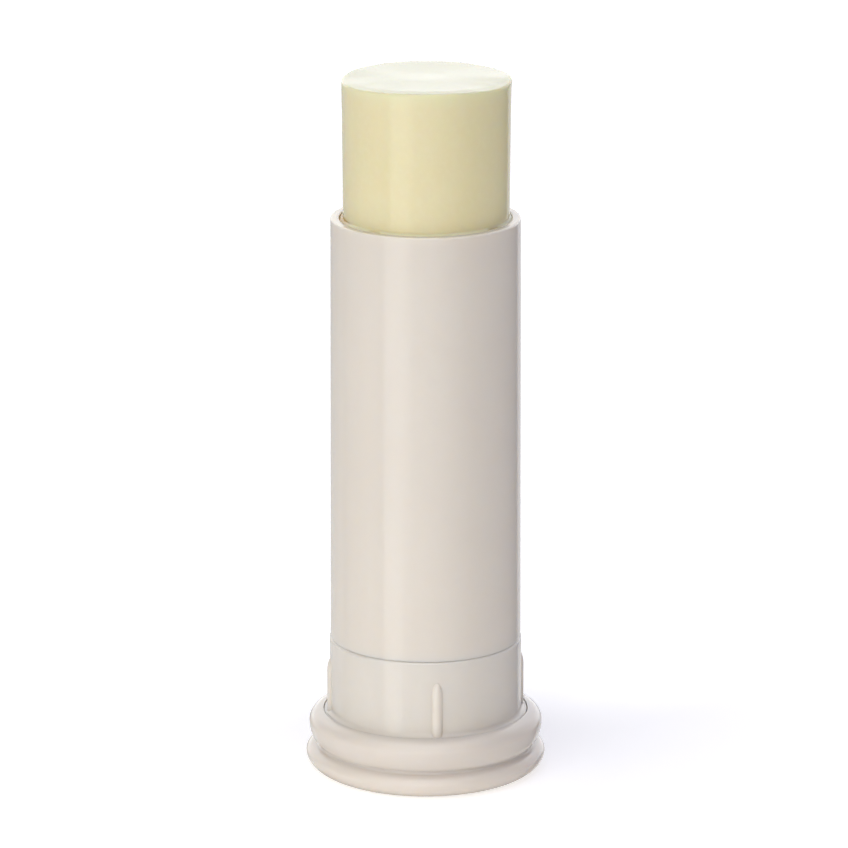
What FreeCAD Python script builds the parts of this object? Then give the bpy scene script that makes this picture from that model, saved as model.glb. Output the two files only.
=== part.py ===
import FreeCAD, Part
import math
import os

# Twist-up sunscreen stick, cap off, standing on its base with the stick raised.
# Millimetres. +Z up along the axis, origin at the centre of the foot ring, z = 0 on the table.
#
# How it works: the two-bead base turns on the ribbed collar. The coarse screw is keyed into
# the base, so it turns with it. The platform is the nut: four keys in the tube stop it from
# turning, so it climbs the screw and carries the sunscreen stick out of the tube.

# ---------------------------------------------------------------- driving dimensions
# base (twist dial)
FOOT_R = 10.81            # outer edge of the flat foot ring
FOOT_R_IN = 9.60
BASE_RECESS = 0.80        # underside recess inside the foot ring
BASE_FLOOR_TOP = 2.00
BEAD1_R = 13.48           # lower bead, largest radius
BEAD1_Z = 1.875
BEAD1_A, BEAD1_B = 2.20, 1.109      # upper half of the lower bead, ellipse half-axes
BEAD2_R = 13.13           # upper bead, largest radius
BEAD2_Z = 5.398
BEAD2_LOW_A, BEAD2_LOW_B = 1.376, 2.41
BEAD2_TOP_A, BEAD2_TOP_B = 1.75, 1.42
BASE_MOUTH_R = 11.50      # inner edge of the upper bead, round the collar's flange
MOUTH_EDGE = 0.08         # rounding of that edge
BASE_LEDGE_Z = 5.45       # ledge that the collar's flange runs on
BASE_BORE_R = 10.62
SNAP_GROOVE_R = 11.10
SNAP_GROOVE_TOP = 4.35
SNAP_GROOVE_BOT = 3.30
BASE_WELL_R = 10.75
BOSS_R = 4.60
BOSS_TOP = 4.60
SOCKET = 4.40             # square socket for the screw's foot, across flats
SOCKET_BOT = 1.50

# ribbed collar
COLLAR_TOP = 15.38
NECK_R = 10.79
NECK_EDGE = 0.28          # rounding of the collar's top outer edge
SEAT_R = 10.20            # bore that the tube's spigot is pressed into
FLANGE_R = 11.43
FLANGE_TOP = 6.72
FLANGE_BOT = 5.55
SKIRT_R = 10.50
SKIRT_R_IN = 9.50
SKIRT_BOT = 3.00
BARB_R = 10.95
BARB_TOP = 4.20
COLLAR_FLOOR_BOT = 6.00
COLLAR_FLOOR_TOP = 7.20
BEARING_R = 3.12          # hole in the collar's floor that the screw's journal runs in
RIB_COUNT = 4
RIB_CREST_R = 11.15
RIB_W = 1.20              # width where the rib leaves the neck
RIB_FULL_TOP = 11.50      # the rib has its full height up to here
RIB_END = 12.97           # and has faded into the neck here

# outer tube
RIM_Z = 63.50
SEAM_GAP = 0.03
TUBE_R_BOT = 10.70        # outside, drafted from the seam ...
TUBE_R_TOP = 10.52       # ... to the rim
TUBE_BORE_BOT = 9.62      # inside, drafted the same way, so the wall stays about 1 mm
TUBE_BORE_TOP = 9.54
RIM_OUT_FIL = 0.18
RIM_IN_FIL = 0.20
KEY_COUNT = 4             # low keys inside the tube that stop the platform from turning
KEY_CREST_R = 9.36
KEY_W = 1.50
KEY_TOP = 59.00
KEY_AZ0 = 45.0

# screw
LEAD = 5.00               # one start, left hand
THREAD_R = 2.70
CORE_R = 1.80
CREST_HW = 0.55           # half width of the thread's crest
FLANK = 0.55              # half width gained per mm of depth
THREAD_BOT = 8.30
THREAD_TOP = 57.50
SCREW_TOP = 58.00
SCREW_FLANGE_R = 4.20
SCREW_FLANGE_TOP = 5.85
JOURNAL_R = 3.00
JOURNAL_TOP = 7.45

# platform, as it stands with the stick raised
LIFT_NOW = 16.34          # how far the stick is raised from its lowest place
HUB_BOT = 7.60 + LIFT_NOW
PLAT_SKIRT_BOT = HUB_BOT + 0.50
DISC_BOT = HUB_BOT + 5.00
DISC_TOP = DISC_BOT + 1.20
PLAT_R = 9.43
PLAT_SKIRT_R_IN = 8.40
HUB_R = 4.30
NUT_CORE_R = 2.05
NUT_THREAD_R = 2.88
NUT_SIDE_GAP = 0.20
NOTCH_R = 9.21
NOTCH_W = 1.90
FIN_COUNT = 4             # upright fins that hold the cast stick
FIN_T = 0.90
FIN_R_IN, FIN_R_OUT = 4.60, 8.20
FIN_H = 6.00

# sunscreen stick
STICK_TOP = 79.22
STICK_BORE_R = 3.10       # clear of the screw
STICK_BORE_TOP = DISC_TOP + 44.70
STICK_EDGE = 0.22         # rounding of the brim
DIMPLE_R = 4.6            # shrink dimple left by the cooling in the middle of the top
DIMPLE_DEPTH = 0.30
# radius at a depth below the top face: the brim flares where the cast wax met the mould's lip
STICK_SIDE = [(0.0, 9.44), (0.50, 9.37), (1.2, 9.32), (2.4, 9.29), (5.0, 9.26), (14.0, 9.19),
              (STICK_TOP - DISC_TOP, 9.12)]

# ---------------------------------------------------------------- helpers
V = FreeCAD.Vector
AXIS = V(0, 0, 1)


def pt(r, z):
    return V(r, 0, z)


def seg(a, b):
    return Part.LineSegment(pt(*a), pt(*b)).toShape()


def polygon_edges(verts, closed=True):
    """Edges through (r, z) or (r, z, fillet) vertices, with tangent arcs at the fillets."""
    n = len(verts)
    ins, outs, mids = [], [], []
    for i, v in enumerate(verts):
        r, z = v[0], v[1]
        f = v[2] if len(v) > 2 else 0.0
        if f <= 0 or (not closed and i in (0, n - 1)):
            ins.append((r, z)); outs.append((r, z)); mids.append(None)
            continue
        a, b = verts[(i - 1) % n], verts[(i + 1) % n]
        u1 = (a[0] - r, a[1] - z); l1 = math.hypot(*u1); u1 = (u1[0] / l1, u1[1] / l1)
        u2 = (b[0] - r, b[1] - z); l2 = math.hypot(*u2); u2 = (u2[0] / l2, u2[1] / l2)
        ang = math.acos(max(-1.0, min(1.0, u1[0] * u2[0] + u1[1] * u2[1])))
        t = f / math.tan(ang / 2)
        bis = (u1[0] + u2[0], u1[1] + u2[1]); lb = math.hypot(*bis)
        bis = (bis[0] / lb, bis[1] / lb)
        c = f / math.sin(ang / 2)
        ins.append((r + u1[0] * t, z + u1[1] * t))
        outs.append((r + u2[0] * t, z + u2[1] * t))
        mids.append((r + bis[0] * (c - f), z + bis[1] * (c - f)))
    edges = []
    last = n if closed else n - 1
    for i in range(n):
        if mids[i]:
            edges.append(Part.Arc(pt(*ins[i]), pt(*mids[i]), pt(*outs[i])).toShape())
        if i < last:
            j = (i + 1) % n
            if math.hypot(outs[i][0] - ins[j][0], outs[i][1] - ins[j][1]) > 1e-6:
                edges.append(seg(outs[i], ins[j]))
    return edges


def ellipse_arc(cr, cz, a, b, t0, t1):
    """Arc of an upright ellipse about (cr, cz), from angle t0 to t1 in degrees, t0 < t1."""
    if a >= b:
        e = Part.Ellipse(pt(cr + a, cz), pt(cr, cz + b), pt(cr, cz))
        off = 0.0
    else:
        e = Part.Ellipse(pt(cr, cz + b), pt(cr - a, cz), pt(cr, cz))
        off = -90.0
    return Part.ArcOfEllipse(e, math.radians(t0 + off), math.radians(t1 + off)).toShape()


def ellipse_pt(cr, cz, a, b, t):
    return (cr + a * math.cos(math.radians(t)), cz + b * math.sin(math.radians(t)))


def turn(edges):
    wire = Part.Wire(Part.__sortEdges__(edges))
    s = Part.Face(wire).revolve(V(0, 0, 0), AXIS, 360)
    return s if s.ShapeType == "Solid" else Part.Solid(s)


def cyl(r, z0, z1):
    return Part.makeCylinder(r, z1 - z0, V(0, 0, z0))


def radial_box(r0, r1, w, z0, z1, az):
    b = Part.makeBox(r1 - r0, w, z1 - z0, V(r0, -w / 2.0, z0))
    b.rotate(V(0, 0, 0), AXIS, az)
    return b


def one(shape):
    """The single solid in a shape."""
    solids = shape.Solids
    assert len(solids) == 1, len(solids)
    return solids[0]


def helix_ridge(r_in, r_out, grow, z0, z1):
    """Left-hand trapezoid ridge between two heights, on the screw's own helix."""
    turns_below = math.ceil((THREAD_BOT - z0) / LEAD) + 1
    start = THREAD_BOT - turns_below * LEAD
    height = math.ceil((z1 - start) / LEAD + 1) * LEAD
    spine = Part.makeHelix(LEAD, height, r_in, 0, True)
    spine.translate(V(0, 0, start))

    def hw(r):
        return CREST_HW + (THREAD_R - r) * FLANK + grow

    prof = Part.Wire([
        seg((r_in, start - hw(r_in)), (r_out, start - hw(r_out))),
        seg((r_out, start - hw(r_out)), (r_out, start + hw(r_out))),
        seg((r_out, start + hw(r_out)), (r_in, start + hw(r_in))),
        seg((r_in, start + hw(r_in)), (r_in, start - hw(r_in))),
    ])
    ridge = Part.Wire(spine.Edges).makePipeShell([prof], True, True)
    if ridge.ShapeType != "Solid":
        ridge = Part.Solid(ridge)
    if ridge.Volume < 0:
        ridge.reverse()
    keep = cyl(r_out + 1.0, z0, z1)
    return ridge.common(keep)


# ---------------------------------------------------------------- twist base
t_groove_low = 60.0
t_groove_up = -60.0
g1 = ellipse_pt(BEAD1_R - BEAD1_A, BEAD1_Z, BEAD1_A, BEAD1_B, t_groove_low)
g2 = ellipse_pt(BEAD2_R - BEAD2_LOW_A, BEAD2_Z, BEAD2_LOW_A, BEAD2_LOW_B, t_groove_up)
gm = ((g1[0] + g2[0]) / 2 - 0.17, (g1[1] + g2[1]) / 2)
top_c = (BEAD2_R - BEAD2_TOP_A, BEAD2_Z)
t_top = math.degrees(math.acos((BASE_MOUTH_R + MOUTH_EDGE - top_c[0]) / BEAD2_TOP_A))
crest = ellipse_pt(top_c[0], top_c[1], BEAD2_TOP_A, BEAD2_TOP_B, t_top)

outer = [
    ellipse_arc(FOOT_R, BEAD1_Z, BEAD1_R - FOOT_R, BEAD1_Z, -90, 0),
    ellipse_arc(BEAD1_R - BEAD1_A, BEAD1_Z, BEAD1_A, BEAD1_B, 0, t_groove_low),
    Part.Arc(pt(*g1), pt(*gm), pt(*g2)).toShape(),
    ellipse_arc(BEAD2_R - BEAD2_LOW_A, BEAD2_Z, BEAD2_LOW_A, BEAD2_LOW_B, t_groove_up, 0),
    ellipse_arc(top_c[0], top_c[1], BEAD2_TOP_A, BEAD2_TOP_B, 0, t_top),
    Part.Arc(pt(*crest), pt(BASE_MOUTH_R + 0.293 * MOUTH_EDGE, crest[1] - 0.293 * MOUTH_EDGE),
             pt(BASE_MOUTH_R, crest[1] - MOUTH_EDGE)).toShape(),
]
inner = polygon_edges([
    (BASE_MOUTH_R, crest[1] - MOUTH_EDGE),
    (BASE_MOUTH_R, BASE_LEDGE_Z, 0.10),
    (BASE_BORE_R, BASE_LEDGE_Z, 0.15),
    (BASE_BORE_R, SNAP_GROOVE_TOP),
    (SNAP_GROOVE_R, SNAP_GROOVE_TOP, 0.08),
    (SNAP_GROOVE_R, SNAP_GROOVE_BOT),
    (BASE_WELL_R, SNAP_GROOVE_BOT - 0.40),
    (BASE_WELL_R, BASE_FLOOR_TOP, 0.35),
    (BOSS_R + 0.12, BASE_FLOOR_TOP, 0.25),
    (BOSS_R, BOSS_TOP, 0.15),
    (0.0, BOSS_TOP),
    (0.0, BASE_RECESS),
    (FOOT_R_IN - 0.15, BASE_RECESS, 0.25),
    (FOOT_R_IN, 0.0, 0.12),
    (FOOT_R, 0.0),
], closed=False)
twist_base = turn(outer + inner)
socket = Part.makeBox(SOCKET, SOCKET, BOSS_TOP - SOCKET_BOT + 1.0,
                      V(-SOCKET / 2, -SOCKET / 2, SOCKET_BOT))
socket = socket.makeFillet(0.40, [e for e in socket.Edges
                                  if abs(e.Vertexes[0].Z - e.Vertexes[1].Z) > 1.0])
twist_base = one(twist_base.cut(socket))

# ---------------------------------------------------------------- ribbed collar
collar = turn(polygon_edges([
    (SEAT_R, COLLAR_TOP, 0.06),
    (NECK_R, COLLAR_TOP, NECK_EDGE),
    (NECK_R, FLANGE_TOP, 0.48),
    (FLANGE_R, FLANGE_TOP, 0.06),
    (FLANGE_R, FLANGE_BOT, 0.12),
    (SKIRT_R, FLANGE_BOT),
    (SKIRT_R, BARB_TOP),
    (BARB_R, BARB_TOP, 0.06),
    (BARB_R, BARB_TOP - 0.32),
    (SKIRT_R - 0.05, SKIRT_BOT, 0.10),
    (SKIRT_R_IN, SKIRT_BOT, 0.10),
    (SKIRT_R_IN, COLLAR_FLOOR_BOT, 0.20),
    (BEARING_R, COLLAR_FLOOR_BOT, 0.10),
    (BEARING_R, COLLAR_FLOOR_TOP, 0.10),
    (SEAT_R, COLLAR_FLOOR_TOP),
]))
rib_h = RIB_CREST_R - NECK_R
rib_rad = (RIB_W ** 2 / 4 + rib_h ** 2) / (2 * rib_h)      # round-backed rib
rib_axis_r = RIB_CREST_R - rib_rad
fade = math.sqrt(1 - ((NECK_R - rib_axis_r) / rib_rad) ** 2)
rib_dome = (RIB_END - RIB_FULL_TOP) / fade
e_dome = Part.ArcOfEllipse(
    Part.Ellipse(pt(0, RIB_FULL_TOP + rib_dome), pt(-rib_rad, RIB_FULL_TOP), pt(0, RIB_FULL_TOP)),
    math.radians(-90), 0.0).toShape()
rib_one = turn([
    seg((0, FLANGE_TOP - 0.3), (rib_rad, FLANGE_TOP - 0.3)),
    seg((rib_rad, FLANGE_TOP - 0.3), (rib_rad, RIB_FULL_TOP)),
    e_dome,
    seg((0, RIB_FULL_TOP + rib_dome), (0, FLANGE_TOP - 0.3)),
])
rib_one.translate(V(rib_axis_r, 0, 0))
rib_one = rib_one.cut(cyl(NECK_R - 0.25, 0, COLLAR_TOP + 2))
for k in range(RIB_COUNT):
    rib = rib_one.copy()
    rib.rotate(V(0, 0, 0), AXIS, 360.0 / RIB_COUNT * k)
    collar = collar.fuse(rib)
ribbed_collar = one(collar.removeSplitter())

# ---------------------------------------------------------------- outer tube
outer_tube = turn(polygon_edges([
    (SEAT_R, COLLAR_FLOOR_TOP, 0.15),
    (SEAT_R, COLLAR_TOP + SEAM_GAP),
    (TUBE_R_BOT, COLLAR_TOP + SEAM_GAP, 0.07),
    (TUBE_R_TOP, RIM_Z, RIM_OUT_FIL),
    (TUBE_BORE_TOP, RIM_Z, RIM_IN_FIL),
    (TUBE_BORE_BOT, COLLAR_FLOOR_TOP, 0.10),
]))
for k in range(KEY_COUNT):
    key = Part.Face(Part.makePolygon([
        V(KEY_CREST_R, 0, COLLAR_FLOOR_TOP + 0.6), V(10.0, 0, COLLAR_FLOOR_TOP + 0.6),
        V(10.0, 0, KEY_TOP + 0.6), V(9.90, 0, KEY_TOP + 0.6), V(KEY_CREST_R, 0, KEY_TOP),
        V(KEY_CREST_R, 0, COLLAR_FLOOR_TOP + 0.6)])).extrude(V(0, KEY_W, 0))
    key.translate(V(0, -KEY_W / 2, 0))
    key.rotate(V(0, 0, 0), AXIS, KEY_AZ0 + 360.0 / KEY_COUNT * k)
    outer_tube = outer_tube.fuse(key)
outer_tube = one(outer_tube.removeSplitter())

# ---------------------------------------------------------------- lift screw
foot = Part.makeBox(SOCKET, SOCKET, BOSS_TOP - SOCKET_BOT - 0.10 + 0.30,
                    V(-SOCKET / 2, -SOCKET / 2, SOCKET_BOT + 0.10))
foot = foot.makeFillet(0.40, [e for e in foot.Edges
                              if abs(e.Vertexes[0].Z - e.Vertexes[1].Z) > 1.0])
shank = turn(polygon_edges([
    (0.0, BOSS_TOP),
    (SCREW_FLANGE_R, BOSS_TOP, 0.10),
    (SCREW_FLANGE_R, SCREW_FLANGE_TOP, 0.15),
    (JOURNAL_R, SCREW_FLANGE_TOP, 0.08),
    (JOURNAL_R, JOURNAL_TOP, 0.20),
    (CORE_R, JOURNAL_TOP, 0.20),
    (CORE_R, SCREW_TOP, 0.50),
    (0.0, SCREW_TOP),
]))
ridge = helix_ridge(CORE_R - 0.20, THREAD_R, 0.0, THREAD_BOT, THREAD_TOP)
lift_screw = one(shank.fuse(foot).fuse(ridge).removeSplitter())

# ---------------------------------------------------------------- platform (the nut)
plat = turn(polygon_edges([
    (0.0, HUB_BOT),
    (HUB_R, HUB_BOT, 0.20),
    (HUB_R, DISC_BOT, 0.20),
    (PLAT_SKIRT_R_IN, DISC_BOT, 0.20),
    (PLAT_SKIRT_R_IN, PLAT_SKIRT_BOT, 0.20),
    (PLAT_R, PLAT_SKIRT_BOT, 0.20),
    (PLAT_R, DISC_TOP, 0.15),
    (0.0, DISC_TOP),
], closed=False) + [seg((0.0, DISC_TOP), (0.0, HUB_BOT))])
for k in range(KEY_COUNT):
    plat = plat.cut(radial_box(NOTCH_R, PLAT_R + 1.0, NOTCH_W, PLAT_SKIRT_BOT - 1, DISC_TOP + 1,
                               KEY_AZ0 + 360.0 / KEY_COUNT * k))
fins = []
for k in range(FIN_COUNT):
    az = 360.0 / FIN_COUNT * k
    fin = Part.Face(Part.makePolygon([
        V(FIN_R_IN, 0, DISC_TOP - 0.4), V(FIN_R_OUT, 0, DISC_TOP - 0.4),
        V(FIN_R_OUT, 0, DISC_TOP + FIN_H * 0.45), V(FIN_R_IN + 1.1, 0, DISC_TOP + FIN_H),
        V(FIN_R_IN, 0, DISC_TOP + FIN_H), V(FIN_R_IN, 0, DISC_TOP - 0.4)])).extrude(V(0, FIN_T, 0))
    fin.translate(V(0, -FIN_T / 2, 0))
    fin.rotate(V(0, 0, 0), AXIS, az)
    fins.append(fin)
for fin in fins:
    plat = plat.fuse(fin)
tapped_hole = cyl(NUT_CORE_R, HUB_BOT - 1.04, DISC_TOP + 1.06).fuse(
    helix_ridge(NUT_CORE_R - 0.25, NUT_THREAD_R, NUT_SIDE_GAP, HUB_BOT - 1.0, DISC_TOP + 1.0))
lift_platform = one(plat.cut(tapped_hole))

# ---------------------------------------------------------------- sunscreen stick
stick = turn(polygon_edges(
    [(STICK_SIDE[0][1], STICK_TOP, STICK_EDGE)]
    + [(r, STICK_TOP - d) for d, r in STICK_SIDE[1:]]
    + [(STICK_BORE_R, DISC_TOP), (STICK_BORE_R, STICK_BORE_TOP), (0.0, STICK_BORE_TOP),
       (0.0, STICK_TOP)]))
dimple_rad = (DIMPLE_R ** 2 + DIMPLE_DEPTH ** 2) / (2 * DIMPLE_DEPTH)
stick = stick.cut(Part.makeSphere(dimple_rad, V(0, 0, STICK_TOP - DIMPLE_DEPTH + dimple_rad)))
for fin in fins:
    stick = stick.cut(fin)
sunscreen_stick = one(stick)

# ---------------------------------------------------------------- write one STEP per piece
os.makedirs("parts", exist_ok=True)
for name, shape in [
    ("twist_base", twist_base),
    ("ribbed_collar", ribbed_collar),
    ("outer_tube", outer_tube),
    ("lift_screw", lift_screw),
    ("lift_platform", lift_platform),
    ("sunscreen_stick", sunscreen_stick),
]:
    assert shape.isValid(), name
    assert shape.Volume > 0, name
    bb = shape.BoundBox
    print("%-16s %9.1f mm3  z %.2f..%.2f  r %.3f" % (name, shape.Volume, bb.ZMin, bb.ZMax, bb.XMax))
    shape.exportStep("parts/" + name + ".step")
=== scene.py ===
import bpy
import bmesh
import math
from mathutils import Vector, Matrix, noise


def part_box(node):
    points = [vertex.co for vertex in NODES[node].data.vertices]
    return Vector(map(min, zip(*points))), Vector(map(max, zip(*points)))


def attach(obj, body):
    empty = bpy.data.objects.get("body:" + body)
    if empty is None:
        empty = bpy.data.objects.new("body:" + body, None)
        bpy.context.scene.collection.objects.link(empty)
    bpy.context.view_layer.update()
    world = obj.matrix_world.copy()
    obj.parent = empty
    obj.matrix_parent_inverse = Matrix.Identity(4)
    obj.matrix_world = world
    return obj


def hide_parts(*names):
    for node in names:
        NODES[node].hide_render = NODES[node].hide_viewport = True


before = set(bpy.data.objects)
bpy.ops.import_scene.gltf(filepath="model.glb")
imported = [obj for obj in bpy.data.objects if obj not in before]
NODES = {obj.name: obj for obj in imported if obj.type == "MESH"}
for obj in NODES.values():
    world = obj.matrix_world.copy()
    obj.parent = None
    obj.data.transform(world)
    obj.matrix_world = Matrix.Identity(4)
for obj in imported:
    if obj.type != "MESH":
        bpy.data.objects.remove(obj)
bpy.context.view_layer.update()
MM = 0.001
scene = bpy.context.scene

# ------------------------------------------------------------------ camera
# Seen from 15 degrees above and 6.8 degrees to the left of the rib that faces -Y.
AZ = math.radians(6.8)
PITCH = math.radians(15.17)
DIST = 0.5799
AIM_Z = 0.03978
to_cam = Vector((-math.sin(AZ), -math.cos(AZ), 0.0))
right = Vector((math.cos(AZ), -math.sin(AZ), 0.0))
back_dir = Vector((-math.sin(AZ) * math.cos(PITCH), -math.cos(AZ) * math.cos(PITCH), math.sin(PITCH)))
up = back_dir.cross(right).normalized()
cam_data = bpy.data.cameras.new("camera")
cam_data.sensor_width = 36.0
cam_data.lens = 5207.0 / 848.0 * 36.0
cam_data.clip_start = 0.05
cam_data.clip_end = 20.0
cam = bpy.data.objects.new("camera", cam_data)
scene.collection.objects.link(cam)
target = Vector((0.0, 0.0, AIM_Z)) - right * 0.000175 + up * 0.000056
pos = target + back_dir * DIST
rot = Matrix((right, up, back_dir)).transposed()
cam.matrix_world = Matrix.Translation(pos) @ rot.to_4x4()
scene.camera = cam

scene.view_settings.view_transform = "Standard"
scene.view_settings.look = "None"
scene.view_settings.exposure = 0.0
scene.view_settings.gamma = 1.0


# ------------------------------------------------------------------ node helpers
def new_material(name):
    m = bpy.data.materials.new(name)
    m.use_nodes = True
    nt = m.node_tree
    bsdf = next(n for n in nt.nodes if n.type == "BSDF_PRINCIPLED")
    return m, nt, bsdf


def add(nt, kind, **vals):
    n = nt.nodes.new(kind)
    for k, v in vals.items():
        setattr(n, k, v)
    return n


def noise_tex(nt, coord, scale, detail=3.0, rough=0.5, stretch=(1, 1, 1)):
    mp = add(nt, "ShaderNodeMapping")
    mp.inputs["Scale"].default_value = stretch
    nt.links.new(coord, mp.inputs["Vector"])
    t = add(nt, "ShaderNodeTexNoise")
    t.inputs["Scale"].default_value = scale
    t.inputs["Detail"].default_value = detail
    t.inputs["Roughness"].default_value = rough
    nt.links.new(mp.outputs["Vector"], t.inputs["Vector"])
    return t.outputs["Fac"]


def remap(nt, fac, lo, hi, a, b):
    r = add(nt, "ShaderNodeMapRange")
    r.inputs["From Min"].default_value = lo
    r.inputs["From Max"].default_value = hi
    r.inputs["To Min"].default_value = a
    r.inputs["To Max"].default_value = b
    nt.links.new(fac, r.inputs["Value"])
    return r.outputs["Result"]


def mix_color(nt, fac, a, b):
    m = add(nt, "ShaderNodeMix", data_type="RGBA")
    m.inputs[6].default_value = (*a, 1.0) if not hasattr(a, "links") else m.inputs[6].default_value
    m.inputs[7].default_value = (*b, 1.0) if not hasattr(b, "links") else m.inputs[7].default_value
    if hasattr(a, "links"):
        nt.links.new(a, m.inputs[6])
    if hasattr(b, "links"):
        nt.links.new(b, m.inputs[7])
    if hasattr(fac, "links"):
        nt.links.new(fac, m.inputs[0])
    else:
        m.inputs[0].default_value = fac
    return m.outputs[2]


def add_math(nt, op, a, b):
    m = add(nt, "ShaderNodeMath", operation=op)
    for i, v in enumerate((a, b)):
        if hasattr(v, "links"):
            nt.links.new(v, m.inputs[i])
        else:
            m.inputs[i].default_value = v
    return m.outputs[0]


def plastic(name, light, dark, rough=(0.10, 0.135), peel=0.22, sss=0.85, draw=0.12):
    """Injection-moulded polypropylene: soft gloss, faint orange peel and draw lines, a little cloudiness."""
    m, nt, bsdf = new_material(name)
    tc = add(nt, "ShaderNodeTexCoord").outputs["Object"]
    cloud = noise_tex(nt, tc, 55.0, 3.0, 0.55)                      # cloudiness, about 18 mm across
    fleck = noise_tex(nt, tc, 900.0, 2.0, 0.6)                      # pigment mottle, about 1 mm
    streak = noise_tex(nt, tc, 420.0, 3.0, 0.6, (1.0, 1.0, 0.045))  # draw lines along the mould's opening
    base = mix_color(nt, remap(nt, cloud, 0.3, 0.7, 0.0, 1.0), light, dark)
    f2 = remap(nt, fleck, 0.35, 0.65, 0.0, 0.35)
    tint = tuple(c * k for c, k in zip(light, (0.975, 0.97, 0.955)))
    base = mix_color(nt, f2, base, tint)
    nt.links.new(base, bsdf.inputs["Base Color"])
    r = add_math(nt, "ADD", remap(nt, cloud, 0.3, 0.7, rough[0], rough[1]),
                 remap(nt, streak, 0.3, 0.7, -0.015, 0.02))
    nt.links.new(r, bsdf.inputs["Roughness"])
    peel_n = noise_tex(nt, tc, 620.0, 2.0, 0.5)                      # orange peel, about 1.6 mm
    fine_n = noise_tex(nt, tc, 4200.0, 2.0, 0.5)                     # grain of the tool's polish
    b1 = add(nt, "ShaderNodeBump")
    b1.inputs["Strength"].default_value = peel
    b1.inputs["Distance"].default_value = 0.00002
    nt.links.new(peel_n, b1.inputs["Height"])
    b2 = add(nt, "ShaderNodeBump")
    b2.inputs["Strength"].default_value = draw
    b2.inputs["Distance"].default_value = 0.000008
    nt.links.new(streak, b2.inputs["Height"])
    nt.links.new(b1.outputs["Normal"], b2.inputs["Normal"])
    b3 = add(nt, "ShaderNodeBump")
    b3.inputs["Strength"].default_value = 0.10
    b3.inputs["Distance"].default_value = 0.000003
    nt.links.new(fine_n, b3.inputs["Height"])
    nt.links.new(b2.outputs["Normal"], b3.inputs["Normal"])
    nt.links.new(b3.outputs["Normal"], bsdf.inputs["Normal"])
    bsdf.inputs["IOR"].default_value = 1.49
    bsdf.inputs["Subsurface Weight"].default_value = sss
    bsdf.inputs["Subsurface Radius"].default_value = (1.0, 0.85, 0.65)
    bsdf.inputs["Subsurface Scale"].default_value = 0.0013
    return m


# ------------------------------------------------------------------ levels of light
GLOW_NEAR, GLOW_MID, GLOW_FAR = 0.41, 0.545, 0.30    # the light table's glow, nearest to furthest
KEY_TINT = (1.02, 1.0, 0.985)
RIGHT_TINT = (0.97, 0.98, 1.60)
TOP_TINT = (0.99, 1.0, 1.01)

# ------------------------------------------------------------------ materials of the moulded pieces
CREAM = (0.736, 0.684, 0.606)
CREAM_DARK = (0.716, 0.662, 0.584)
tube_mat = plastic("tube_plastic", CREAM, CREAM_DARK)
collar_mat = plastic("collar_plastic", (0.748, 0.692, 0.616), (0.730, 0.672, 0.594))
base_mat = plastic("base_plastic", (0.722, 0.670, 0.606), (0.704, 0.650, 0.584), peel=0.35)
mech_mat = plastic("mechanism_plastic", (0.80, 0.79, 0.75), (0.77, 0.76, 0.72), rough=(0.34, 0.42), sss=0.2)


def set_material(obj, mat):
    obj.data.materials.clear()
    obj.data.materials.append(mat)


set_material(NODES["outer_tube"], tube_mat)
set_material(NODES["ribbed_collar"], collar_mat)
set_material(NODES["twist_base"], base_mat)
set_material(NODES["lift_screw"], mech_mat)
set_material(NODES["lift_platform"], mech_mat)

# ------------------------------------------------------------------ the stick: cast wax
lo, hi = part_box("sunscreen_stick")
TOP = hi.z / MM                      # top of the stick's CAD solid, mm
BOT = lo.z / MM
BORE_R = 3.10
BORE_TOP = BOT + 44.70
# radius of the casting by depth below the top, mm
SIDE = [(0.0, 9.33), (1.2, 9.33), (2.4, 9.315), (3.9, 9.285), (9.0, 9.25), (14.0, 9.215), (20.0, 9.17), (TOP - BOT, 9.12)]
SHIFT = 0.085                        # the stick sits this far to the right in its tube, mm
LIP_R = 9.42                         # brim drawn out on the right, from the stick's own axis
SEG = 256
# how far the uneven brim lies below the stick's highest point, by angle from the right, back positive
BRIM = [(-180, 0.32), (-150, 0.24), (-125, 0.12), (-100, 0.02), (-75, 0.01), (-58, 0.07), (-38, 0.21), (-22, 0.18),
        (0, 0.045), (25, 0.12), (45, 0.12), (70, 0.05), (110, 0.05), (145, 0.11), (180, 0.32)]


def smooth(a, b, x):
    t = max(0.0, min(1.0, (x - a) / (b - a)))
    return t * t * (3 - 2 * t)


def side_r(d):
    for (d0, r0), (d1, r1) in zip(SIDE, SIDE[1:]):
        if d <= d1:
            t = (d - d0) / (d1 - d0)
            return r0 + (r1 - r0) * t
    return SIDE[-1][1]


def brim_drop(a):
    """Depth of the brim below the highest point at an angle from the right, in radians."""
    d = math.degrees(a)
    for (a0, h0), (a1, h1) in zip(BRIM, BRIM[1:]):
        if d <= a1:
            return h0 + (h1 - h0) * smooth(a0, a1, d)
    return BRIM[-1][1]


def top_z(u, v):
    """Height of the poured top over a point: u to the right, v towards the viewer, mm."""
    r = math.hypot(u, v)
    w = smooth(3.2, 10.2, r)
    z = TOP - 0.035 - 0.0009 * (r * r)
    z = z * (1 - w) + (TOP - brim_drop(math.atan2(-v, u))) * w
    z -= 0.10 * smooth(7.9, 9.3, r) * smooth(-2.0, 6.0, v)    # the front rolls over gently
    q = math.hypot(u + 0.3, v + 3.1)                          # shrink dimple, off centre to the back
    z -= 0.10 * smooth(5.6, 0.0, q)
    q2 = math.hypot(u - 0.9, v + 2.0)
    z -= 0.018 * math.exp(-(q2 / 0.9) ** 2)
    z += 0.010 * noise.noise(Vector((u * 0.21, v * 0.21, 4.0))) * smooth(9.2, 7.0, r) - 0.005
    z += 0.002 * noise.noise(Vector((u * 0.8, v * 0.8, 8.0))) * smooth(9.2, 8.0, r)
    return min(z, TOP - 0.004)


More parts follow.
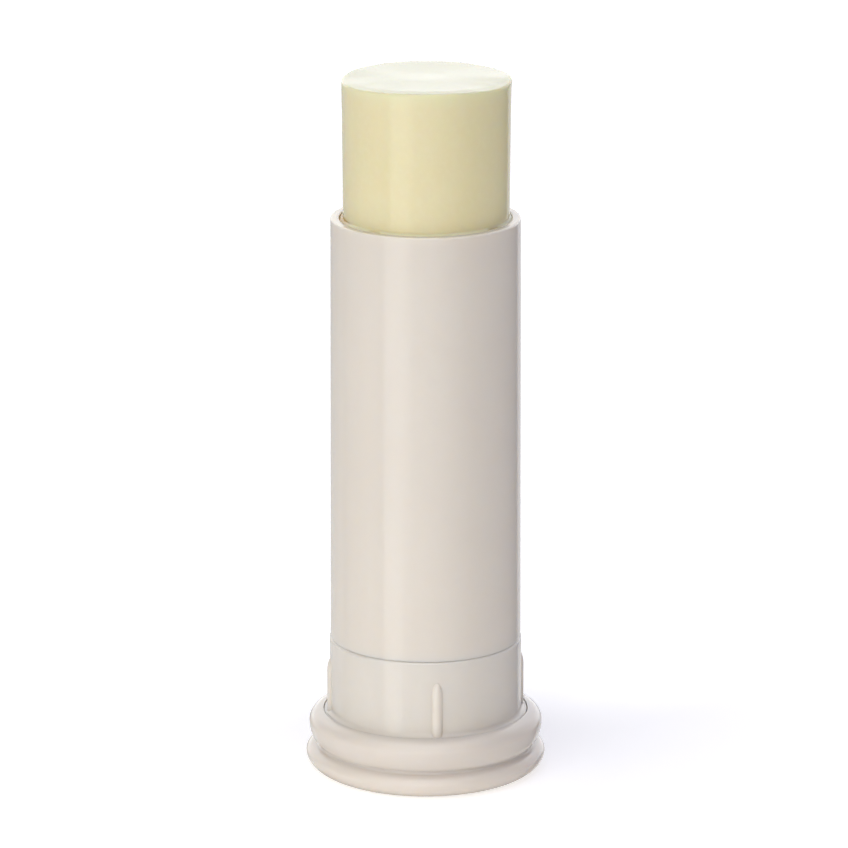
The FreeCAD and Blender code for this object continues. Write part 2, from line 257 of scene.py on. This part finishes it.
def brim(a):
    """How far the brim is drawn out at an angle measured from the right: 1 on the right, 0 on the left."""
    m = math.exp(-(a / 0.75) ** 2)
    m += 0.18 * math.exp(-((a - 1.9) / 0.4) ** 2) + 0.12 * math.exp(-((a + 2.0) / 0.5) ** 2)
    m += 0.10 * noise.noise(Vector((math.cos(a) * 2.6, math.sin(a) * 2.6, 9.0)))
    return max(0.0, min(1.0, m))


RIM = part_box("outer_tube")[1].z / MM
KEYS = [math.radians(45 + 90 * k) for k in range(4)]


def left_gap_weight(rel):
    """Weight on the open side of the gap, on the left: browner, drier residue there, darkened as painted shade in
    the gap.
    """
    return smooth(0.50, 0.12, abs(math.atan2(math.sin(rel + 3.05), math.cos(rel + 3.05))))


def smear(a, rel, z):
    """Wax rubbed out against the tube's mouth: how far out it stands, mm, and how much of that there is here."""
    left = left_gap_weight(rel)
    top = RIM - 0.02 - 0.16 * left
    up_ = smooth(top + 0.20, top - 0.06, z)
    dn = smooth(RIM - 7.5, RIM - 1.6, z)
    key = max(math.exp(-(math.atan2(math.sin(a - k), math.cos(a - k)) / 0.10) ** 6) for k in KEYS)
    return 9.52 - SHIFT * math.cos(rel) - side_r(TOP - RIM), up_ * dn * (1 - key)


def build_residue():
    """A thin ring of wiped-off product lodged in the rounded mouth of the tube; it stays with the tube."""
    bm = bmesh.new()
    stale_and_gap_shade = bm.verts.layers.float.new("stale_and_gap_shade")
    az_right = math.atan2(right.y, right.x)
    rings = []
    for i, (r, z) in enumerate([(9.535, -0.60), (9.532, -0.10), (9.534, -0.045), (9.548, -0.018), (9.620, -0.010), (9.730, -0.014), (9.70, -0.30)]):
        ring = []
        for k in range(SEG):
            a = 2 * math.pi * k / SEG
            rel = math.atan2(math.sin(a - az_right), math.cos(a - az_right))
            n = noise.noise(Vector((math.cos(a) * 7.0, math.sin(a) * 7.0, 3.0)))
            # fuller above each key, where the product on the stick itself is scraped away
            full = max(math.exp(-(math.atan2(math.sin(a - k_), math.cos(a - k_)) / 0.085) ** 6) for k_ in KEYS)
            inner = 9.355 + (LIP_R - 9.33) * brim(rel) + SHIFT * math.cos(rel)
            rr = r + (inner - 9.532) * full * (1.0 if i < 3 else 0.85 if i == 3 else 0.0)
            low = 0.06 * left_gap_weight(rel) + 0.02 * max(0.0, n)
            v = bm.verts.new((rr * math.cos(a) * MM, rr * math.sin(a) * MM, (RIM + z - low * (i > 0)) * MM))
            # stale product all round, browner on the left, where the brown is also painted shade in the gap
            v[stale_and_gap_shade] = 0.10 + 0.90 * left_gap_weight(rel)
            ring.append(v)
        rings.append(ring)
    for k in range(SEG):
        j = (k + 1) % SEG
        for a_, b_ in zip(rings, rings[1:]):
            bm.faces.new((a_[k], a_[j], b_[j], b_[k]))
    me = bpy.data.meshes.new("mouth_residue")
    bm.to_mesh(me)
    bm.free()
    for p in me.polygons:
        p.use_smooth = True
    ob = bpy.data.objects.new("mouth_residue", me)
    scene.collection.objects.link(ob)
    return ob


def build_wax():
    bm = bmesh.new()
    az_right = math.atan2(right.y, right.x)
    angles = [2 * math.pi * k / SEG for k in range(SEG)]
    rel = [math.atan2(math.sin(a - az_right), math.cos(a - az_right)) for a in angles]
    stale_and_gap_shade = bm.verts.layers.float.new("stale_and_gap_shade")
    rub_and_painted_light = bm.verts.layers.float.new("rub_and_painted_light")
    EDGE = 0.30                                               # rounding of the brim, mm

    def vert(a, r, z):
        return bm.verts.new(((r * math.cos(a) + right.x * SHIFT) * MM, (r * math.sin(a) + right.y * SHIFT) * MM, z * MM))

    def swell(a, z):
        c, s_ = math.cos(a), math.sin(a)
        n1 = noise.noise(Vector((c * 1.3 + 3.1, s_ * 1.3 + 7.7, z * 0.045 + 1.9)))
        n2 = noise.noise(Vector((c * 3.2 + 11.0, s_ * 3.2 + 2.0, z * 0.16 + 5.0)))
        return 0.010 * n1 + 0.006 * n2

    def edge_r(k):
        return side_r(0.3) + (LIP_R - side_r(0.3)) * brim(rel[k])

    rings = []
    # top face, centre outwards
    rads = [8.95 * (i / 44.0) ** 0.92 for i in range(1, 45)]
    for q in rads:
        ring = []
        for k, a in enumerate(angles):
            r = q + (edge_r(k) - 9.25) * smooth(7.2, 8.95, q)
            ring.append(vert(a, r, top_z(r * math.cos(rel[k]), -r * math.sin(rel[k]))))
        rings.append(ring)
    # rounded brim
    for i in range(0, 9):
        t = math.radians(90 - 90 * i / 8.0)
        ring = []
        for k, a in enumerate(angles):
            cr = edge_r(k) - EDGE
            zt = top_z(cr * math.cos(rel[k]), -cr * math.sin(rel[k]))
            ring.append(vert(a, cr + EDGE * math.cos(t), zt - EDGE + EDGE * math.sin(t)))
        rings.append(ring)
    # side, top to bottom; the first stretch blends from the uneven brim to level rings
    depths = [EDGE + 0.06, 0.46, 0.58, 0.70, 0.82, 0.94, 1.06, 1.2, 1.4, 1.7, 2.1, 2.6, 3.2, 3.9]
    d = 4.8
    while d < TOP - BOT - 0.4:
        depths.append(d)
        d += 0.05 if 15.2 < d < 16.3 else (0.5 if d < 18 else 1.3)
    for d in depths:
        ring = []
        for k, a in enumerate(angles):
            zt = top_z(9.1 * math.cos(rel[k]), -9.1 * math.sin(rel[k]))
            z = (zt - d) * (1 - smooth(2.0, 8.0, d)) + (TOP - d) * smooth(2.0, 8.0, d)
            b = side_r(max(0.3, d))
            lip = (edge_r(k) - side_r(0.3)) * (1 - smooth(0.40, 1.20, d))
            fill, amount = smear(a, rel[k], z)
            ring.append(vert(a, b + lip + swell(a, z) * smooth(0.2, 2.0, d) * (1 - amount) + fill * amount, z))
            # painted light: a lighter band on the wax just above and inside the tube's mouth, except on the left,
            # lifting the shade the rim casts there
            ring[-1][rub_and_painted_light] = (1 - left_gap_weight(rel[k])) * smooth(RIM + 0.34, RIM + 0.14, z) * smooth(RIM - 4.0, RIM - 2.0, z)
            # stale product and painted shade: a brown band on the wax in the gap on the left
            ring[-1][stale_and_gap_shade] = left_gap_weight(rel[k]) * smooth(RIM + 0.30, RIM + 0.08, z) * smooth(RIM - 4.0, RIM - 2.0, z)
        rings.append(ring)
    rb = SIDE[-1][1]
    for r, z in [(rb, BOT + 0.2), (rb - 0.03, BOT + 0.06), (rb - 0.12, BOT), (BORE_R + 3.0, BOT), (BORE_R + 0.05, BOT), (BORE_R, BOT + 0.1)]:
        rings.append([vert(a, r, z) for a in angles])
    for i in range(1, 25):
        z = BOT + 0.1 + (BORE_TOP - 0.25 - BOT - 0.1) * i / 24
        rings.append([vert(a, BORE_R, z) for a in angles])
    for r, z in [(BORE_R - 0.08, BORE_TOP - 0.07), (BORE_R - 0.25, BORE_TOP), (BORE_R * 0.5, BORE_TOP)]:
        rings.append([vert(a, r, z) for a in angles])
    c_top = bm.verts.new((right.x * SHIFT * MM, right.y * SHIFT * MM, top_z(0, 0) * MM))
    c_bot = bm.verts.new((right.x * SHIFT * MM, right.y * SHIFT * MM, BORE_TOP * MM))
    for k in range(SEG):
        j = (k + 1) % SEG
        bm.faces.new((c_top, rings[0][k], rings[0][j]))
        for a_, b_ in zip(rings, rings[1:]):
            bm.faces.new((a_[k], b_[k], b_[j], a_[j]))
        bm.faces.new((rings[-1][k], c_bot, rings[-1][j]))
    bmesh.ops.recalc_face_normals(bm, faces=bm.faces)
    me = bpy.data.meshes.new("wax_stick")
    bm.to_mesh(me)
    bm.free()
    for p in me.polygons:
        p.use_smooth = True
    ob = bpy.data.objects.new("wax_stick", me)
    scene.collection.objects.link(ob)
    return ob


def wax_material():
    m, nt, bsdf = new_material("stick_product")
    tc = add(nt, "ShaderNodeTexCoord").outputs["Object"]
    cloud = noise_tex(nt, tc, 110.0, 4.0, 0.55)            # cloudy crystallising, about 9 mm
    grain = noise_tex(nt, tc, 1500.0, 3.0, 0.6)            # waxy grain, about 0.7 mm
    rings = noise_tex(nt, tc, 160.0, 3.0, 0.5, (0.25, 0.25, 2.2))   # chill marks round the stick
    base = mix_color(nt, remap(nt, cloud, 0.3, 0.7, 0.0, 1.0), WAX, WAX_DARK)
    base = mix_color(nt, remap(nt, grain, 0.45, 0.75, 0.0, 0.5), base, WAX_PALE)
    split = add(nt, "ShaderNodeSeparateXYZ")
    nt.links.new(add(nt, "ShaderNodeTexCoord").outputs["Normal"], split.inputs[0])
    place = add(nt, "ShaderNodeSeparateXYZ")
    nt.links.new(tc, place.inputs[0])
    near_top = remap(nt, place.outputs["Z"], (TOP - 1.9) * MM, (TOP - 0.2) * MM, 0.0, 0.75)
    # painted top light and sheen: upward-facing wax and the last mm under the top get a paler, greener colour,
    # partly a real cast skin
    skin_and_top_sheen = add_math(nt, "MAXIMUM", remap(nt, split.outputs["Z"], 0.55, 0.95, 0.0, 1.0), near_top)
    base = mix_color(nt, skin_and_top_sheen, base, WAX_SKIN_AND_TOP_SHEEN)
    # painted light: lightens the wax in the band just above the tube's mouth
    rub_and_painted_light = add(nt, "ShaderNodeAttribute", attribute_name="rub_and_painted_light").outputs["Fac"]
    base = mix_color(nt, add_math(nt, "MULTIPLY", rub_and_painted_light, 0.45), base, (0.87, 0.80, 0.53))
    stale_and_gap_shade = add(nt, "ShaderNodeAttribute", attribute_name="stale_and_gap_shade").outputs["Fac"]
    # painted shade in the gap on the left, laid over the stale product colour
    base = mix_color(nt, stale_and_gap_shade, base, RESIDUE_AND_GAP_SHADE)
    nt.links.new(base, bsdf.inputs["Base Color"])
    dull = add_math(nt, "MAXIMUM", stale_and_gap_shade, rub_and_painted_light)              # the gloss is gone over the rubbed, lightened band and over the stale band
    nt.links.new(remap(nt, dull, 0.0, 1.0, 0.5, 0.05), bsdf.inputs["Specular IOR Level"])
    r = add_math(nt, "ADD", remap(nt, cloud, 0.3, 0.7, 0.105, 0.14), remap(nt, grain, 0.3, 0.7, -0.01, 0.02))
    nt.links.new(r, bsdf.inputs["Roughness"])
    b1 = add(nt, "ShaderNodeBump")
    b1.inputs["Strength"].default_value = 0.30
    b1.inputs["Distance"].default_value = 0.00003
    nt.links.new(rings, b1.inputs["Height"])
    b2 = add(nt, "ShaderNodeBump")
    b2.inputs["Strength"].default_value = 0.22
    b2.inputs["Distance"].default_value = 0.00001
    nt.links.new(grain, b2.inputs["Height"])
    nt.links.new(b1.outputs["Normal"], b2.inputs["Normal"])
    vor = add(nt, "ShaderNodeTexVoronoi", feature="F1")     # sparse pinholes
    vor.inputs["Scale"].default_value = 260.0
    nt.links.new(tc, vor.inputs["Vector"])
    pin = remap(nt, vor.outputs["Distance"], 0.0, 0.09, 0.0, 1.0)
    b3 = add(nt, "ShaderNodeBump")
    b3.inputs["Strength"].default_value = 0.30
    b3.inputs["Distance"].default_value = 0.00002
    nt.links.new(pin, b3.inputs["Height"])
    nt.links.new(b2.outputs["Normal"], b3.inputs["Normal"])
    nt.links.new(b3.outputs["Normal"], bsdf.inputs["Normal"])
    bsdf.inputs["IOR"].default_value = 1.44
    bsdf.inputs["Subsurface Weight"].default_value = 1.0
    bsdf.inputs["Subsurface Radius"].default_value = (1.0, 0.8, 0.45)
    bsdf.inputs["Subsurface Scale"].default_value = 0.0007
    return m


def residue_material():
    """Wiped-off product dried in the tube's mouth: matt, uneven, browner on the left, where the brown is partly
    stale product and partly painted shade in the gap.
    """
    m, nt, bsdf = new_material("residue")
    tc = add(nt, "ShaderNodeTexCoord").outputs["Object"]
    patch = noise_tex(nt, tc, 700.0, 3.0, 0.6)
    crumb = noise_tex(nt, tc, 5000.0, 2.0, 0.6)
    base = mix_color(nt, remap(nt, patch, 0.3, 0.7, 0.0, 1.0), (0.78, 0.72, 0.56), (0.74, 0.67, 0.49))
    stale_and_gap_shade = add(nt, "ShaderNodeAttribute", attribute_name="stale_and_gap_shade").outputs["Fac"]
    # painted shade in the gap on the left, laid over the stale product colour
    nt.links.new(mix_color(nt, stale_and_gap_shade, base, RESIDUE_AND_GAP_SHADE), bsdf.inputs["Base Color"])
    nt.links.new(remap(nt, patch, 0.3, 0.7, 0.36, 0.46), bsdf.inputs["Roughness"])
    b = add(nt, "ShaderNodeBump")
    b.inputs["Strength"].default_value = 0.25
    b.inputs["Distance"].default_value = 0.00001
    nt.links.new(crumb, b.inputs["Height"])
    nt.links.new(b.outputs["Normal"], bsdf.inputs["Normal"])
    bsdf.inputs["IOR"].default_value = 1.44
    return m


WAX = (0.785, 0.722, 0.458)
WAX_DARK = (0.765, 0.698, 0.428)
WAX_PALE = (0.795, 0.738, 0.492)
WAX_SKIN_AND_TOP_SHEEN = (0.770, 0.767, 0.503)     # paler skin on the poured top, partly painted top light and sheen: it goes on every upward-facing surface
RESIDUE_AND_GAP_SHADE = (0.66, 0.47, 0.21)         # stale product in the gap, darkened as painted shade of the gap
wax_mat = wax_material()
wax = build_wax()
set_material(wax, wax_mat)
residue = build_residue()
set_material(residue, residue_material())
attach(residue, "barrel")
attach(wax, "carrier")
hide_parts("sunscreen_stick")

# ------------------------------------------------------------------ floor
bm = bmesh.new()
N = 96
RADII = (0.02, 0.05, 0.12, 0.3, 0.8, 4.0)
c0 = bm.verts.new((0, 0, 0))
loops = [[bm.verts.new((q * math.cos(2 * math.pi * k / N), q * math.sin(2 * math.pi * k / N), 0)) for k in range(N)] for q in RADII]
for k in range(N):
    j = (k + 1) % N
    bm.faces.new((c0, loops[0][k], loops[0][j]))
    for a_, b_ in zip(loops, loops[1:]):
        bm.faces.new((a_[k], b_[k], b_[j], a_[j]))
me = bpy.data.meshes.new("floor")
bm.to_mesh(me)
bm.free()
floor = bpy.data.objects.new("floor", me)
scene.collection.objects.link(floor)
m, nt, bsdf = new_material("floor")
bsdf.inputs["Base Color"].default_value = (0.92, 0.92, 0.915, 1.0)
bsdf.inputs["Roughness"].default_value = 0.9
bsdf.inputs["Specular IOR Level"].default_value = 0.0
bsdf.inputs["Emission Color"].default_value = (1.0, 1.0, 1.0, 1.0)
# a light table: it glows from below, less so on the right of the object
fc = add(nt, "ShaderNodeTexCoord").outputs["Object"]


def fdot(vec):
    d = add(nt, "ShaderNodeVectorMath", operation="DOT_PRODUCT")
    d.inputs[1].default_value = vec
    nt.links.new(fc, d.inputs[0])
    return d.outputs["Value"]


def band(tree, v, a, b, soft):
    """1 between a and b with soft ends."""
    up_ = remap(tree, v, a - soft, a + soft, 0.0, 1.0)
    dn = remap(tree, v, b - soft, b + soft, 1.0, 0.0)
    return add_math(tree, "MULTIPLY", up_, dn)


fl_len = add(nt, "ShaderNodeVectorMath", operation="LENGTH")
nt.links.new(fc, fl_len.inputs[0])
rad = fl_len.outputs["Value"]
f_front, f_side = fdot(to_cam), fdot(right)
fang = add_math(nt, "ARCTAN2", f_side, f_front)
fang_b = add_math(nt, "ARCTAN2", add_math(nt, "MULTIPLY", f_side, -1.0), add_math(nt, "MULTIPLY", f_front, -1.0))
on_right = band(nt, fang, math.radians(22), math.radians(128), math.radians(10))
behind = band(nt, fang_b, math.radians(-48), math.radians(48), math.radians(10))
near = remap(nt, rad, 0.020, 0.050, GLOW_NEAR, GLOW_MID)
far = remap(nt, rad, 0.10, 0.20, 0.0, GLOW_FAR - GLOW_MID)
far_b = add_math(nt, "ADD", remap(nt, rad, 0.020, 0.035, 0.0, 0.10), remap(nt, rad, 0.10, 0.20, 0.0, 0.18))
fade = remap(nt, rad, 0.50, 0.90, 1.0, 0.33)
glow = add_math(nt, "ADD", add_math(nt, "ADD", near, far), add_math(nt, "MULTIPLY", behind, far_b))
glow = add_math(nt, "MULTIPLY", glow, fade)
dim = add_math(nt, "MULTIPLY", on_right, remap(nt, rad, 0.018, 0.040, 0.0, 0.08))
glow = add_math(nt, "MULTIPLY", glow, add_math(nt, "SUBTRACT", 1.0, dim))
nt.links.new(glow, bsdf.inputs["Emission Strength"])
m.cycles.emission_sampling = "NONE"
set_material(floor, m)
floor.visible_glossy = False


# ------------------------------------------------------------------ light
def around(az_deg, el_deg):
    """Direction at an azimuth to the right of the camera and an elevation."""
    a, e = math.radians(az_deg), math.radians(el_deg)
    h = to_cam * math.cos(a) + right * math.sin(a)
    return h * math.cos(e) + Vector((0, 0, math.sin(e)))


world = bpy.data.worlds.new("studio")
scene.world = world
world.use_nodes = True
world.cycles.sampling_method = "NONE"
wn = world.node_tree
for n in list(wn.nodes):
    wn.nodes.remove(n)
out = add(wn, "ShaderNodeOutputWorld")
lp = add(wn, "ShaderNodeLightPath")
tc = add(wn, "ShaderNodeTexCoord").outputs["Generated"]
nrm = add(wn, "ShaderNodeVectorMath", operation="NORMALIZE")
wn.links.new(tc, nrm.inputs[0])


def dotted(vec):
    d = add(wn, "ShaderNodeVectorMath", operation="DOT_PRODUCT")
    d.inputs[1].default_value = vec
    wn.links.new(nrm.outputs["Vector"], d.inputs[0])
    return d.outputs["Value"]


def softbox(az, el, p):
    """A broad soft light: full towards its middle, falling off as a power of the cosine."""
    c = add_math(wn, "MAXIMUM", dotted(around(az, el)), 0.0)
    return c if p == 1 else add_math(wn, "POWER", c, float(p))


front = dotted(to_cam)
side = dotted(right)
height = dotted((0, 0, 1))
azim = add_math(wn, "ARCTAN2", side, front)        # 0 towards the camera, positive to its right
azim_b = add_math(wn, "ARCTAN2", add_math(wn, "MULTIPLY", side, -1.0), add_math(wn, "MULTIPLY", front, -1.0))
overhead = add_math(wn, "POWER", add_math(wn, "MAXIMUM", height, 0.0), 2.0)


def card(source, a0, a1, e0, e1, soft_a=3.0, soft_e=3.0):
    """A flat card or strip light: azimuths and elevations in degrees."""
    e0s, e1s = math.sin(math.radians(e0)), math.sin(math.radians(e1))
    return add_math(wn, "MULTIPLY", band(wn, source, math.radians(a0), math.radians(a1), math.radians(soft_a)),
                    band(wn, height, e0s, e1s, math.radians(soft_e)))


def mixed(parts):
    total = None
    for value, strength, tint in parts:
        v = add(wn, "ShaderNodeVectorMath", operation="SCALE")
        v.inputs[0].default_value = tuple(strength * t for t in tint)
        wn.links.new(value, v.inputs["Scale"])
        if total is None:
            total = v.outputs["Vector"]
        else:
            s_ = add(wn, "ShaderNodeVectorMath", operation="ADD")
            wn.links.new(total, s_.inputs[0])
            wn.links.new(v.outputs["Vector"], s_.inputs[1])
            total = s_.outputs["Vector"]
    return total


WHITE = (1.0, 1.0, 1.0)
# soft light that falls on the object
falls = mixed([
    (softbox(-45, 25, 3), 0.425, KEY_TINT),
    (softbox(-30, 50, 3), 0.390, KEY_TINT),
    (softbox(-20, 10, 3), 1.230, KEY_TINT),
    (softbox(60, 30, 3), 0.115, RIGHT_TINT),
    (softbox(150, 30, 3), 0.375, RIGHT_TINT),
    (overhead, 0.320, TOP_TINT),
])
# what the gloss mirrors
mirrored = mixed([
    (card(azim, -51, -28, -28, -8, 0.8, 0.8), 1.38, WHITE),
    (card(azim, -28, -19, -16, -8, 0.8, 0.8), 1.10, WHITE),
    (softbox(-10, -10, 3), 0.62, WHITE),
    (softbox(-30, 0, 1), 0.74, WHITE),
    (softbox(-10, 35, 3), 1.80, WHITE),
    (add_math(wn, "POWER", add_math(wn, "MAXIMUM", height, 0.0), 4.0), 2.9, WHITE),
    (card(azim_b, -55, 55, -2, 46, 25, 5), 1.84, WHITE),
    (card(azim_b, -32, 10, -30, 2, 3, 5), 0.785, WHITE),
    (card(azim_b, 8, 60, -30, 2, 3, 5), 0.579, WHITE),
    (card(azim, -120, -60, -40, 20, 10, 10), 0.645, WHITE),
    (card(azim_b, 15, 62, -32, -15, 5, 2), 0.22, WHITE),
])
b_falls = add(wn, "ShaderNodeBackground")
wn.links.new(falls, b_falls.inputs["Color"])
b_mirr = add(wn, "ShaderNodeBackground")
wn.links.new(mirrored, b_mirr.inputs["Color"])
b_seen = add(wn, "ShaderNodeBackground")
b_seen.inputs["Color"].default_value = (1, 1, 1, 1)
m1 = add(wn, "ShaderNodeMixShader")
wn.links.new(lp.outputs["Is Glossy Ray"], m1.inputs["Fac"])
wn.links.new(b_falls.outputs[0], m1.inputs[1])
wn.links.new(b_mirr.outputs[0], m1.inputs[2])
m2 = add(wn, "ShaderNodeMixShader")
wn.links.new(lp.outputs["Is Camera Ray"], m2.inputs["Fac"])
wn.links.new(m1.outputs[0], m2.inputs[1])
wn.links.new(b_seen.outputs[0], m2.inputs[2])
wn.links.new(m2.outputs[0], out.inputs["Surface"])
